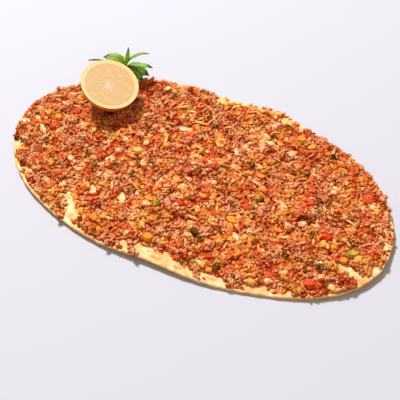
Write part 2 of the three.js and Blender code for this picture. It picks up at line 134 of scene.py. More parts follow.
LEMON_FACE = (-112.2, 43.6, 30.2)  # centre of the cut face
LEMON_TILT = 19  # towards +X
LEMON_LEAN = 5  # towards -Y
LEMON_DOME_RADIUS = 27.3
LEMON_DOME_CENTRE = 3.0  # above the cut face
LEMON_HEIGHT = 23.6
LEMON_SEGMENTS = 10
LEMON_CORE = (-0.5, -3)  # where the segments meet, off the middle of the cut face
PEEL_THICKNESS = 1
PEEL_WALL = 6  # height of the peel's inner wall
PITH_THICKNESS = 3.1
PITH_OVERLAP = 0.15  # how far the pith runs into the peel
PITH_LOWERED = 0.08  # from the cut face
PULP_DEPTH = 2
LEMON_CREASE = 40  # the angle past which an edge stays sharp

MINT_CROWN = (-116.5, 79.4, 23)
MINT_FOOT = (-110, 68, 6.3)
MINT_STEM_BOW = (3, 3, 0)
MINT_STEM_CLEARANCE = 1.2  # from the stem's middle to the crumbs
LEAF_THICKNESS = 0.35
LEAF_FOLD = 0.3  # rise of a leaf's halves from its rib
LEAF_VEINS = 8
VEIN_SLANT = 1.6
# The share of a leaf's length at each of its cross-sections, with the width there as a share of its widest.
LEAF_SHARES = (0, 0.1, 0.28, 0.48, 0.68, 0.86, 1)
LEAF_WIDTHS = (0.1, 0.34, 0.86, 1, 0.82, 0.44, 0.06)
# Heading from +X, rise above level, length, width, droop of the tip, roll about the rib, and kind.
MINT_LEAVES = (
    (205, 24, 36, 8, 22, 44, "young"),
    (194, 50, 26, 12, 84, -12, "young"),
    (64, 76, 19.5, 4.6, 8, 80, "tip"),
    (44, 66, 28.5, 6.5, 72, -24, "young"),
    (30, 2, 25, 11, 18, -14, "broad"),
    (24, -18, 24, 14, 24, 8, "grown"),
    (3, -27, 21.5, 11, 24, 4, "grown"),
)

# ---- Modelling helpers ----


def deselect_all():
    bpy.ops.object.select_all(action="DESELECT")


def pick(piece):
    """Makes a piece the one selected and active object."""
    deselect_all()
    piece.select_set(True)
    bpy.context.view_layer.objects.active = piece


def new_piece(name):
    """The primitive that was just added, named, with its place and size applied."""
    piece = bpy.context.object
    piece.name = piece.data.name = name
    bpy.ops.object.transform_apply(location=True, rotation=True, scale=True)
    return piece


def edit(piece, select="NONE"):
    """Opens a piece in edit mode, with ALL or NONE of it selected."""
    pick(piece)
    bpy.ops.object.mode_set(mode="EDIT")
    bpy.ops.mesh.select_all(action="SELECT" if select == "ALL" else "DESELECT")


def leave_edit():
    bpy.ops.object.mode_set(mode="OBJECT")


def select_where(piece, part, rule):
    """Selects the vertices, edges or faces that a rule picks by place or normal, in edit mode."""
    bpy.ops.object.mode_set(mode="OBJECT")
    parts = {"VERT": piece.data.vertices, "EDGE": piece.data.edges, "FACE": piece.data.polygons}
    for items in parts.values():
        items.foreach_set("select", np.zeros(len(items), bool))
    for item in parts[part]:
        item.select = bool(rule(item))
    bpy.context.tool_settings.mesh_select_mode = [part == kind for kind in parts]
    bpy.ops.object.mode_set(mode="EDIT")


def select_edges_along(piece, axis):
    """Selects the edges of a primitive that run along X, for axis 0, or along Z, for axis 2."""
    def runs_along(edge):
        start, end = (piece.data.vertices[corner].co for corner in edge.vertices)
        return abs(start[axis] - end[axis]) > 0.5

    select_where(piece, "EDGE", runs_along)


def points_of(piece):
    points = np.empty(len(piece.data.vertices) * 3)
    piece.data.vertices.foreach_get("co", points)
    return points.reshape(-1, 3)


def move_points(piece, rule):
    """Moves every point to where rule(x, y, z) puts it. The three are arrays, in metres."""
    moved = np.stack(rule(*points_of(piece).T), axis=1)
    piece.data.vertices.foreach_set("co", moved.astype(np.float32).ravel())
    piece.data.update()


def raised(spots, lifts):
    """The spots, each moved up by its own lift."""
    higher = spots.copy()
    higher[:, 2] += lifts
    return higher


def apply_modifier(piece, kind, **settings):
    pick(piece)
    modifier = piece.modifiers.new(kind.lower(), kind)
    for setting, value in settings.items():
        setattr(modifier, setting, value)
    bpy.ops.object.modifier_apply(modifier=modifier.name)


def roughen(piece, kind, grain, depth, middle=0.5, direction="NORMAL", group=""):
    """Displaces the surface by a procedural texture: grain and depth are in millimetres."""
    texture = bpy.data.textures.new(f"{piece.name}_{kind.lower()}_relief", kind)
    texture.noise_scale = grain * MM
    apply_modifier(
        piece, "DISPLACE", texture=texture, texture_coords="LOCAL", strength=depth * MM,
        mid_level=middle, direction=direction, vertex_group=group)


def store(piece, name, values):
    """Keeps a number from 0 to 1 for each point, for a material to read."""
    layer = piece.data.attributes.new(name, "FLOAT", "POINT")
    layer.data.foreach_set("value", np.clip(values, 0, 1).astype(np.float32))


def smooth(piece):
    pick(piece)
    bpy.ops.object.shade_smooth()


def finish_piece(piece, slot, material, *nodes):
    """Gives a piece its material and its place in the model, for the nodes that it replaces."""
    piece.data.materials.clear()
    piece.data.materials.append(material)
    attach(piece, "root")
    if nodes:
        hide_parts(*nodes)
    return piece


def surface_of(piece):
    return BVHTree.FromObject(piece, bpy.context.evaluated_depsgraph_get())


def height_at(surface, x, y, default=None):
    """Where a vertical line through (x, y) first meets a surface from above, and the normal there."""
    start = Vector((x, y, 0.2))  # well over the food
    place, normal, _, _ = surface.ray_cast(start, Vector((0, 0, -1)))
    return (default, None) if place is None else (place.z, normal)


# ---- Material helpers ----


class Paint:
    """A Principled material built from noises, ramps and mixes in object coordinates."""

    def __init__(self, name, **constants):
        self.material = bpy.data.materials.new(name)
        self.material.use_nodes = True
        self.nodes = self.material.node_tree.nodes
        self.links = self.material.node_tree.links
        self.shader = self.nodes["Principled BSDF"]
        for socket, value in constants.items():
            self.shader.inputs[socket.replace("_", " ")].default_value = value
        self.place = self.nodes.new("ShaderNodeTexCoord").outputs["Object"]

    def feed(self, socket, value):
        """Links a socket to another node's output, or sets its value. A tuple is an sRGB colour."""
        if isinstance(value, bpy.types.NodeSocket):
            self.links.new(value, socket)
        else:
            socket.default_value = srgb(*value) if isinstance(value, tuple) else value

    def node(self, kind, feeds, **settings):
        """A new node. Feeds are what goes into its sockets, by name or number."""
        made = self.nodes.new(f"ShaderNode{kind}")
        for setting, value in settings.items():
            setattr(made, setting, value)
        for socket, value in feeds.items():
            self.feed(made.inputs[socket], value)
        return made

    def noise(self, size, detail=2, rough=0.5):
        """A noise from 0 to 1 whose blotches are `size` millimetres across."""
        feeds = {"Vector": self.place, "Scale": 1 / (size * MM), "Detail": detail, "Roughness": rough}
        return self.node("TexNoise", feeds).outputs["Fac"]

    def cells(self, size):
        """Round cells `size` millimetres across: 0 at a cell's middle, and more towards its border."""
        return self.node("TexVoronoi", {"Vector": self.place, "Scale": 1 / (size * MM)}).outputs["Distance"]

    def clump(self, size):
        """A random number for each clump of crumbs, with ragged borders between the clumps."""
        wobble = self.node("TexNoise", {"Vector": self.place, "Scale": 4 / (size * MM)}).outputs["Color"]
        reach = Vector((0.4 * size * MM,) * 3)
        ragged = self.node("VectorMath", {0: wobble, 1: reach, 2: self.place}, operation="MULTIPLY_ADD")
        feeds = {"Vector": ragged.outputs[0], "Scale": 1 / (size * MM)}
        return self.node("TexVoronoi", feeds).outputs["Color"]

    def island(self):
        """A random number for each separate bit of the mesh."""
        return self.node("NewGeometry", {}).outputs["Random Per Island"]

    def distance(self, place):
        """The distance from a place, in metres."""
        return self.node("VectorMath", {0: self.place, 1: place}, operation="DISTANCE").outputs["Value"]

    def attribute(self, name):
        """One of the numbers that a piece keeps for its points."""
        return self.node("Attribute", {}, attribute_name=name).outputs["Fac"]

    def uv(self, axis):
        """The share of the way along a leaf, for X, or across it, for Y."""
        return self.node("SeparateXYZ", {0: self.node("TexCoord", {}).outputs["UV"]}).outputs[axis]

    def ramp(self, factor, *stops):
        """Colours between stops of (position, sRGB colour)."""
        made = self.node("ValToRGB", {"Fac": factor})
        elements = made.color_ramp.elements
        while len(elements) < len(stops):
            elements.new(1)
        for element, (position, colour) in zip(elements, stops):
            element.position = position
            element.color = srgb(*colour)
        return made.outputs["Color"]

    def band(self, factor, low, high):
        """0 below low, 1 above high, and smooth between. Low may be the larger."""
        feeds = {
            "Value": factor, "From Min": min(low, high), "From Max": max(low, high),
            "To Min": float(low > high), "To Max": float(low <= high)}
        return self.node("MapRange", feeds, interpolation_type="SMOOTHSTEP").outputs["Result"]

    def math(self, operation, a, b=0):
        return self.node("Math", {0: a, 1: b}, operation=operation).outputs[0]

    def times(self, a, b):
        return self.math("MULTIPLY", a, b)

    def mix(self, factor, a, b, blend="MIX"):
        """Colour a where the factor is 0, and where it is 1 colour b, or the blend of both."""
        feeds = {"Factor": factor, 6: a, 7: b}  # 6, 7 and 2 are the sockets for colours
        return self.node("Mix", feeds, data_type="RGBA", blend_type=blend).outputs[2]

    def colour(self, source):
        self.links.new(source, self.shader.inputs["Base Color"])

    def bump(self, height, depth):
        """Relief from a height of 0 to 1 that is `depth` millimetres deep."""
        made = self.node("Bump", {"Height": height, "Distance": depth * MM})
        self.links.new(made.outputs["Normal"], self.shader.inputs["Normal"])


def srgb(red, green, blue):
    """A display colour of 0 to 255 as the linear colour that the shader takes."""
    def linear(value):
        share = value / 255
        return share / 12.92 if share <= 0.04045 else ((share + 0.055) / 1.055) ** 2.4
    return (linear(red), linear(green), linear(blue), 1)


# ---- The bread ----


def swell(angle):
    """The outline's radius as a share of a plain oval's."""
    return 1 + sum(
        depth * np.cos(waves * (angle - math.radians(peak))) for waves, depth, peak in OUTLINE_WAVES)


def share_of_radius(x, y):
    """How far a place is on the way from the middle to the rim."""
    return np.hypot(x / (BREAD_LENGTH / 2 * MM), y / (BREAD_WIDTH / 2 * MM)) / swell(np.arctan2(y, x))


def curl(x, y):
    """How far the bread lifts off the table, towards its edge."""
    angle = np.arctan2(y, x)
    away = np.clip((share_of_radius(x, y) - FLAT_SHARE) / (1 - FLAT_SHARE), 0, 1.1)
    unevenness = 0.45 + 0.3 * np.sin(3 * angle + 0.6) + 0.25 * np.sin(5 * angle + 2.1)
    return BREAD_EDGE_LIFT * MM * np.maximum(0, unevenness) * away ** 2


def crust(x, y):
    """The height of the bread's upper side."""
    return BREAD_THICKNESS * MM + curl(x, y)


def oval_distance(x, y, spot):
    """Distance from a spot's centre, as a share of its oval."""
    left, front, length, width = (value * MM for value in spot[:4])
    turn = math.radians(spot[-1])
    along = (x - left) * math.cos(turn) + (y - front) * math.sin(turn)
    across = (y - front) * math.cos(turn) - (x - left) * math.sin(turn)
    return np.hypot(along / (length / 2), across / (width / 2))


def draw_in(shares):
    """Extrudes the selected cap inwards, so that its rings lie at these shares of the rim."""
    last = 1
    for share in shares:
        bpy.ops.mesh.extrude_region_move()
        bpy.ops.transform.resize(value=(share / last, share / last, 1), center_override=(0, 0, 0))
        last = share
    bpy.ops.mesh.poke()


def flatbread():
    """The bread: an oval disc with a wavy outline, an uneven lifted edge and blisters."""
    rim_points = 720
    rounding = 1.1 * MM
    rim_rings = [1 - 0.006 * number for number in range(1, 30)]
    inner_rings = [0.82 - 0.016 * number for number in range(1, 34)] + [0.2, 0.1]
    underside_rings = [0.98, 0.94, 0.88, 0.8, 0.7, 0.6, 0.3]
    bpy.ops.mesh.primitive_cylinder_add(
        vertices=rim_points, radius=BREAD_WIDTH / 2 * MM, depth=BREAD_THICKNESS * MM,
        end_fill_type="NGON", location=(0, 0, BREAD_THICKNESS / 2 * MM))
    bpy.context.object.scale.x = BREAD_LENGTH / BREAD_WIDTH
    bread = new_piece("flatbread")
    apply_modifier(bread, "BEVEL", width=rounding, segments=4, profile=0.6, limit_method="ANGLE")
    edit(bread)
    select_where(bread, "FACE", lambda face: len(face.vertices) > 4 and face.normal.z > 0)
    draw_in(rim_rings + inner_rings)
    select_where(bread, "FACE", lambda face: len(face.vertices) > 4 and face.normal.z < 0)
    draw_in(underside_rings)
    leave_edit()

    def settle(x, y, z):
        angle = np.arctan2(y, x)
        ragged = 1 + 0.0022 * np.sin(41 * angle + 2 * np.sin(7 * angle)) * np.cos(19 * angle)
        x = x * swell(angle) * ragged
        y = y * swell(angle) * ragged
        upper = np.clip(z / (BREAD_THICKNESS * MM), 0, 1) ** 2
        relief = np.zeros_like(x)
        for spot in BLISTERS:
            height = spot[4] * MM
            away = np.minimum(oval_distance(x, y, spot), 1)
            relief = np.maximum(relief, height * (1 - away ** 2) ** 1.5)
        return x, y, z + curl(x, y) + upper * relief

    move_points(bread, settle)
    top = bread.vertex_groups.new(name="top")
    top.add([point.index for point in bread.data.vertices if point.normal.z > 0.3], 1, "REPLACE")
    roughen(bread, "CLOUDS", grain=9, depth=1.1, middle=0.55, direction="Z", group="top")
    roughen(bread, "CLOUDS", grain=3.2, depth=0.5, direction="Z", group="top")
    smooth(bread)
    return finish_piece(bread, "bread", bread_crust(), "bread")


CRUST_GOLDEN = (214, 142, 72)
CRUST_OILY = (228, 158, 82)
CRUST_CHARRED = (96, 58, 30)


def bread_crust():
    """Pale dough with golden, oily and a few charred blotches."""
    paint = Paint("bread_crust", Roughness=0.62)
    dough = paint.ramp(
        paint.noise(8, detail=4), (0.3, (226, 172, 108)), (0.5, (238, 198, 140)), (0.68, (246, 218, 178)))
    golden = paint.band(paint.noise(12, detail=5, rough=0.6), 0.54, 0.7)
    dough = paint.mix(golden, dough, CRUST_GOLDEN)
    oil = paint.band(paint.noise(5, detail=5, rough=0.65), 0.52, 0.66)
    dough = paint.mix(oil, dough, CRUST_OILY)
    char = paint.band(paint.noise(4.5, detail=3, rough=0.6), 0.735, 0.79)
    paint.colour(paint.mix(char, dough, CRUST_CHARRED))
    paint.bump(paint.noise(1.6, detail=4, rough=0.6), depth=0.35)
    return paint.material


# ---- The topping ----


def bareness(x, y):
    """How bare the bread is: 1 and more inside a bare spot, falling off outside it, with ragged edges."""
    ragged = 0.25 * np.sin(x / (1.3 * MM)) * np.sin(y / (1.1 * MM)) + 0.2 * np.sin((x + y) / (2.3 * MM))
    nearest = np.min([oval_distance(x, y, spot) for spot in BARE_SPOTS], axis=0)
    return 2 - nearest + ragged


def lay_down(x, y, z):
    """The core's finished height: under the bread's crust in the bare spots, and over it elsewhere."""
    buried = crust(x, y) - CORE_BURIED * MM
    covered = np.clip(1.6 * (1.15 - bareness(x, y)), 0, 1)
    upper = np.maximum(z, crust(x, y) + CORE_COVER * MM)
    return x, y, np.where(z < 0, buried, buried + (upper - buried) * covered)


def topping_core(meat):
    """The fused mass under the loose crumbs, laid over the solid topping's own surface."""
    columns = round(BREAD_LENGTH / CORE_GRID)
    rows = round(BREAD_WIDTH * 1.06 / CORE_GRID)
    above = 60 * MM
    bpy.ops.mesh.primitive_grid_add(
        x_subdivisions=columns, y_subdivisions=rows, size=1, location=(0, 0, above))
    bpy.context.object.scale = (columns * CORE_GRID * MM, rows * CORE_GRID * MM, 1)
    core = new_piece("topping_core")
    apply_modifier(
        core, "SHRINKWRAP", target=frame["nodes"]["topping"], wrap_method="PROJECT",
        use_project_z=True, use_negative_direction=True, use_positive_direction=False)
    edit(core)
    select_where(core, "VERT", lambda point: point.co.z > above / 2
                 and share_of_radius(point.co.x, point.co.y) > CORE_FILLED)
    bpy.ops.mesh.delete(type="VERT")
    leave_edit()
    move_points(core, lambda x, y, z: (x, y, np.where(z > above / 2, crust(x, y), z) - CORE_SUNK * MM))
    apply_modifier(core, "SMOOTH", factor=0.5, iterations=6)
    ground = ground_of(core)
    roughen(core, "VORONOI", grain=CLUMP_SIZE, depth=-3, middle=0.4, direction="Z")
    roughen(core, "VORONOI", grain=3.3, depth=-1.8, middle=0.4, direction="Z")
    roughen(core, "CLOUDS", grain=1.6, depth=0.7, direction="Z")
    select_where(core, "EDGE", lambda edge: False)  # turns to edges, with none selected yet
    bpy.ops.mesh.select_non_manifold()  # the open border
    bpy.ops.mesh.extrude_edges_move(TRANSFORM_OT_translate={"value": (0, 0, -above)})
    bpy.ops.mesh.edge_face_add()
    draw_in([0.9, 0.75, 0.6, 0.3])
    bpy.ops.mesh.select_all(action="SELECT")
    bpy.ops.mesh.normals_make_consistent(inside=False)
    leave_edit()
    move_points(core, lay_down)
    smooth(core)
    mark_height(core, ground)
    x, y, _ = points_of(core).T
    for name, values in meat_colours(x, y).items():
        store(core, name, values)
    return finish_piece(core, "topping", meat, "topping"), ground


def ground_of(core):
    """A function that gives the height of the smooth topping, or of the bread beside it, at any place."""
    surface = surface_of(core)
    columns, rows = (np.arange(-reach, reach + 1, GROUND_GRID) * MM for reach in GROUND_REACH)
    heights = np.array([[height_at(surface, x, y, crust(x, y))[0] for y in rows] for x in columns])
    x, y = np.meshgrid(columns, rows, indexing="ij")
    heights = lay_down(x, y, heights)[2]

    def ground(x, y):
        column = (x - columns[0]) / (GROUND_GRID * MM)
        row = (y - rows[0]) / (GROUND_GRID * MM)
        left, front = column.astype(int), row.astype(int)
        across, up = column - left, row - front
        front_height = heights[left, front] * (1 - across) + heights[left + 1, front] * across
        back_height = heights[left, front + 1] * (1 - across) + heights[left + 1, front + 1] * across
        return front_height * (1 - up) + back_height * up

    return ground


def mark_height(piece, ground):
    """Stores how high each point stands over the ground, from 0 to 1, for the painted shade in the
    crevices.
    """
    x, y, z = points_of(piece).T
    store(piece, "height", 0.5 + (z - ground(x, y)) / (RELIEF * MM))


def shade_by_height(paint, colour):
    """Painted shade: darkens a colour towards a deep brown in the crevices, where shade falls."""
    crumb_tops, crevice_floors = 0.74, 0.28
    deep = paint.band(paint.attribute("height"), crumb_tops, crevice_floors)
    # painted shade, deepest at the crevice floors
    return paint.mix(paint.times(deep, 0.9), colour, PAINTED_CREVICE_SHADE, "MULTIPLY")


def browning(x, y):
    """How far the meat is browned at each place, from 0 to 1: in patches, and more towards the edge."""
    size = 11 * MM
    patchy = np.array([noise.noise(Vector((a, b, 0)) / size) for a, b in zip(x, y)])
    edge = np.clip((share_of_radius(x, y) - 0.9) / 0.1, 0, 1)
    spots = sum(np.exp(-oval_distance(x, y, spot) ** 2) for spot in BROWNED_SPOTS)
    return 0.5 + 0.5 * np.tanh(2.6 * (patchy + 0.2 * edge + 0.6 * spots))


def patch(name, x, y):
    """How far the meat takes one of the patchy colours at each place, from 0 to 1."""
    size, level, low, high = PATCHES[name]
    noises = np.array([noise.noise(Vector((a, b, level * MM)) / (size * MM)) for a, b in zip(x, y)])
    return np.clip((noises - low) / (high - low), 0, 1)


def meat_colours(x, y):
    return {"browned": browning(x, y), **{name: patch(name, x, y) for name in PATCHES}}


class Shape:
    """A small shape modelled once, about the origin and about 1 across, to be copied many times."""

    def __init__(self, piece):
        self.points = points_of(piece)
        self.faces = [tuple(face.vertices) for face in piece.data.polygons]
        bpy.data.objects.remove(piece)


def nugget(seed):
    """A crumb of minced meat, or any soft bit: a rounded block with uneven bumps."""
    bpy.ops.mesh.primitive_cube_add(size=0.8)
    piece = new_piece("nugget")
    edit(piece, "ALL")
    bpy.ops.mesh.subdivide(number_cuts=1, smoothness=0.9)
    bpy.ops.transform.vertex_random(offset=0.2, uniform=1, seed=seed)
    leave_edit()
    return Shape(piece)


def grain(seed):
    """The smallest crumb, with twenty faces."""
    bpy.ops.mesh.primitive_ico_sphere_add(subdivisions=1, radius=0.5)
    piece = new_piece("grain")
    edit(piece, "ALL")
    bpy.ops.transform.vertex_random(offset=0.12, uniform=1, seed=seed)
    leave_edit()
    return Shape(piece)


def dice(seed):
    """A cut cube of vegetable with softened edges."""
    bpy.ops.mesh.primitive_cube_add(size=0.95)
    piece = new_piece("dice")
    edit(piece, "ALL")
    bpy.ops.transform.vertex_random(offset=0.14, uniform=1, seed=seed)
    bpy.ops.mesh.bevel(offset=0.16, segments=1, affect="EDGES")
    leave_edit()
    return Shape(piece)


def strip(seed):
    """A sliver of onion, bowed along its length, with narrower ends."""
    bpy.ops.mesh.primitive_cylinder_add(vertices=6, radius=0.5, depth=1, rotation=(0, math.radians(90), 0))
    piece = new_piece("strip")
    edit(piece)
    select_edges_along(piece, 0)
    bpy.ops.mesh.subdivide(number_cuts=3)
    leave_edit()
    bow = 0.25 + 0.12 * (seed % 3)

    def shape(x, y, z):
        narrow = 1 - 0.5 * np.abs(2 * x) ** 2.5
        return x, y * narrow, z * narrow + bow * (0.3 - 4 * x ** 2 * 0.6)

    move_points(piece, shape)
    edit(piece, "ALL")
    bpy.ops.transform.vertex_random(offset=0.05, uniform=1, seed=seed)
    leave_edit()
    return Shape(piece)


def flake(seed):
    """A torn scrap of herb leaf, thin and cupped."""
    bpy.ops.mesh.primitive_circle_add(vertices=8, radius=0.5, fill_type="TRIFAN")
    piece = new_piece("flake")
    edit(piece, "ALL")
    bpy.ops.transform.vertex_random(offset=0.16, uniform=1, seed=seed)
    leave_edit()
    apply_modifier(piece, "SOLIDIFY", thickness=0.08)
    return Shape(piece)


def tumbled(random, headings, tilt):
    """Rotations: each heading about Z, in degrees, then a tilt of up to `tilt` degrees in any direction."""
    count = len(headings)

    def about_z(angle):
        flat = np.zeros((count, 3, 3))
        flat[:, 0, 0] = flat[:, 1, 1] = np.cos(angle)
        flat[:, 1, 0] = np.sin(angle)
        flat[:, 0, 1] = -flat[:, 1, 0]
        flat[:, 2, 2] = 1
        return flat

    lean = np.radians(tilt) * random.random(count)
    tipped = np.zeros((count, 3, 3))
    tipped[:, 0, 0] = tipped[:, 2, 2] = np.cos(lean)
    tipped[:, 0, 2] = np.sin(lean)
    tipped[:, 2, 0] = -np.sin(lean)
    tipped[:, 1, 1] = 1
    direction = TURN * random.random(count)
    return about_z(direction) @ tipped @ about_z(np.radians(headings) - direction)


def joined_copies(name, shapes, spots, turns, sizes, ground, colours):
    """One mesh of copies of the shapes, taken in turn. Spots are in metres and sizes in millimetres.
    Colours are the numbers that each copy keeps for its material, by name."""
    points, faces, owners, start = [], [], [], 0
    for number, shape in enumerate(shapes):
        mine = slice(number, None, len(shapes))
        owners.append(np.repeat(np.arange(len(spots))[mine], len(shape.points)))
        local = shape.points[None] * sizes[mine][:, None] * MM
        placed = local @ turns[mine].transpose(0, 2, 1) + spots[mine][:, None]
        points.append(placed.reshape(-1, 3))
        corners = len(shape.points)
        starts = range(start, start + len(placed) * corners, corners)
        faces += [[first + corner for corner in face] for first in starts for face in shape.faces]
        start += len(placed) * corners
    points = np.concatenate(points)
    points[:, 2] = np.maximum(points[:, 2], LOWEST_BIT * MM)
    mesh = bpy.data.meshes.new(name)
    mesh.from_pydata(points, [], faces)
    mesh.validate()
    piece = bpy.data.objects.new(name, mesh)
    bpy.context.scene.collection.objects.link(piece)
    mark_height(piece, ground)
    for colour, values in colours.items():
        store(piece, colour, values[np.concatenate(owners)])
    return piece


# The kinds of bit in the topping. Sizes are ranges of length, width and height in millimetres.
# `placed` bits have a centre, length, width and turn, or only a centre where a kind lies in bunches.
# `count` bunches of `bunch` more bits are strewn, inside the meat's patches of one colour for a `patch`.
# `lift` is the height of a bit's middle over the core, as a share of its height, and `stained` is how far
# the sauce colours it. `colours` go from the darkest to the lightest, here and below.
BITS = {
    "red_pepper_bits": dict(
        placed=((146, 36, 12, 8, -59), (47, -75, 13, 7, 29), (-106, -53, 11, 6, 35), (65, -70, 8, 5, 64),
                (138, -67, 8, 5, -80), (-59, 71, 9, 5, -38), (-70, 11, 8, 4, -78), (159, -4, 7, 5, -66)),
        patch="reddened", count=60, bunch=1, sizes=((3.8, 8), (3, 5.4), (2, 3)), shape=dice, tilt=18,
        lift=0.15, stained=0.6, slot="red_pepper",
        colours=((168, 36, 16), (210, 72, 46), (234, 128, 92))),
    "yellow_pepper_bits": dict(
        placed=((-19, -45, 11, 9, 24), (66, 78, 16, 6, -62), (-4, -52, 8, 7, 99), (60, -10, 7, 5, -50),
                (52, -43, 9, 5, -63), (149, -33, 7, 5, 82), (-58, -27, 8, 6, -7), (46, -56, 8, 4, 7),
                (-23, -20, 7, 5, 40), (12, 23, 8, 4, 22), (96, -43, 8, 5, -9), (0, 49, 8, 5, -50)),
        patch="golden", count=100, bunch=1, sizes=((4, 8.5), (3.2, 6), (1.8, 3)), shape=dice, tilt=15,
        lift=0.15, stained=0.45, slot="yellow_pepper",
        colours=((228, 138, 52), (244, 176, 84), (253, 212, 136))),
    "green_pepper_bits": dict(
        placed=((62, -5, 8, 5, 20), (-41, 69, 9, 6, -30), (-14, -49, 8, 5, 60), (147, -42, 11, 4, -50)),
        count=40, bunch=1, sizes=((4, 7), (2.6, 4.6), (1.8, 2.8)), shape=dice, tilt=25,
        lift=0.3, stained=0.35, slot="green_pepper",
        colours=((84, 80, 4), (150, 136, 28), (222, 196, 92))),
    "onion_bits": dict(
        placed=((-3, -7, 8, 6, -24), (-14, -12, 8, 6, 10), (63, -73, 8, 5, 30), (-78, -19, 8, 5, 50),
                (-66, -34, 8, 5, 0), (84, -1, 10, 5, -40), (27, 49, 10, 5, -30), (-168, 6, 8, 6, 20),
                (-166, 15, 10, 8, 20), (-153, 36, 10, 8, -30), (-35, 46, 11, 8, 10)),
        patch="soft", count=120, bunch=1, sizes=((4, 8.5), (3, 5.4), (1.4, 2.4)), shape=nugget, tilt=20,
        lift=0.35, stained=0.3, slot="onion",
        colours=((244, 178, 122), (253, 210, 158), (255, 232, 194))),
    "onion_slivers": dict(
        placed=((57, -38, 14, 4, -38), (92, -38, 12, 4, 20), (52, 12, 12, 4, -20), (41, 60, 12, 3.5, 38)),
        count=110, bunch=1, sizes=((6, 12), (2, 3.4), (1.4, 2.2)), shape=strip, tilt=12,
        lift=0.5, stained=0.35, slot="onion",
        colours=((242, 168, 106), (252, 200, 142), (255, 226, 180))),
    "golden_bits": dict(
        placed=(),
        patch="golden", count=120, bunch=3, sizes=((3, 7), (2.4, 5), (1.4, 2.4)), shape=nugget, tilt=30,
        lift=0.15, stained=0.6, slot="yellow_pepper",
        colours=((232, 150, 70), (250, 190, 104), (254, 222, 148))),
    "tomato_bits": dict(
        placed=(),
        patch="reddened", count=85, bunch=3, sizes=((3, 7), (2.2, 5), (1.4, 2.6)), shape=nugget, tilt=35,
        lift=0.15, stained=0.6, slot="red_pepper",
        colours=((168, 50, 22), (212, 94, 60), (236, 148, 108))),
    "parsley_flakes": dict(
        placed=((71, -43), (76, -45), (146, -14), (142, 9), (135, -45), (143, -46), (75, -86), (122, -52),
                (127, -48), (118, -47), (125, -57), (150, -25), (133, -45), (-24, 84), (8, -30),
                (-128, -62), (36, -72)),
        count=44, bunch=3, sizes=((2.4, 5), (1.6, 3.4), (2, 3)), shape=flake, tilt=30,
        lift=1.4, stained=0.1, slot="green_pepper",
        colours=((50, 44, 6), (90, 78, 16), (158, 142, 58))),
}
# The minced meat, by how far it is browned: up to where, and its colours at that stage.
MINCE = {
    "mince_pale": (0.4, ((166, 54, 0), (243, 174, 125), (255, 226, 200))),
    "mince_rosy": (0.64, ((160, 44, 0), (238, 159, 113), (254, 212, 184))),
    "mince_baked": (0.89, ((160, 48, 0), (241, 163, 108), (255, 220, 178))),
    "mince_browned": (1.01, ((96, 20, 0), (172, 68, 28), (232, 130, 82))),
}
# The patches of colour in the meat: their size, at which level of the noise they are taken, and between
# which of its values they fade in.
PATCHES = {"golden": (14, 300, 0, 0.18), "reddened": (13, 500, 0.18, 0.32), "soft": (7, 700, 0.18, 0.32)}
PATCH_COLOURS = {
    "golden": ((178, 62, 0), (252, 172, 88), (255, 222, 152)),
    "reddened": ((156, 36, 0), (236, 124, 82), (253, 188, 146)),
    "soft": ((212, 112, 40), (254, 204, 138), (255, 238, 196)),
}
PATCH_STRENGTH = 0.75
PATCH_EDGE = 0.4  # how far a patch has faded in where its bits start
MEAT_STOPS = (0, 0.5, 1)  # the shades at which the colours of the meat lie
STAGE_BLEND = 0.08  # how far the stages of browning run into each other, on either side
BROWNED_UNEVENNESS = 0.1  # how far the crumbs differ from the core
# the dark brown of the painted shade in the crevices
PAINTED_CREVICE_SHADE = (190, 92, 8)
OILY = (226, 124, 66)  # the blotches on the vegetables
SAUCE = (208, 104, 54)  # at their foot
WARM_OIL = (1, 0.6, 0.3, 1)  # the tint of the sheen


def spread(spacing, random):
    """Places on a jittered triangular grid over the whole bread, in metres."""
    side = BREAD_WIDTH / 2 + SPREAD_MARGIN
    rows = np.arange(-side, side, spacing * math.sqrt(3) / 2)
    columns = np.arange(-BREAD_LENGTH / 2, BREAD_LENGTH / 2, spacing)
    x, y = np.meshgrid(columns, rows)
    x = x + (np.arange(len(rows)) % 2)[:, None] * spacing / 2
    places = np.stack([x.ravel(), y.ravel()], axis=1)
    return (places + spacing * (random.random(places.shape) - 0.5) * JITTER) * MM


def in_range(random, count, ranges):
    """Random sizes, each inside its own range."""
    low, high = np.array(ranges).T
    return low + (high - low) * random.random((count, len(ranges)))


def clear_of_garnish(place, reach):
    """Whether a bit that reaches this far misses the lemon and the mint's stem."""
    face = Vector(LEMON_FACE) * MM
    centre = face + lemon_placement().to_3x3() @ Vector((0, 0, LEMON_DOME_CENTRE * MM))
    off_lemon = (place - centre).length > LEMON_DOME_RADIUS * MM + reach
    off_stem = (place.xy - (Vector(MINT_FOOT) * MM).xy).length > MINT_STEM_CLEARANCE * MM + reach
    return off_lemon and off_stem


def crumbs_end(x, y):
    """The share of the radius at which the loose crumbs end."""
    front = np.clip(-y / (BREAD_WIDTH / 2 * MM), 0, 1)
    over = sum(np.exp(-oval_distance(x, y, spot) ** 2) for spot in OVERHANGS)
    uneven = END_UNEVENNESS * noise.noise(Vector((x, y, 0)) / (14 * MM))
    return CRUMBS_END + OVERHANG * over - FRONT_GAP * front * (1 - over) + uneven


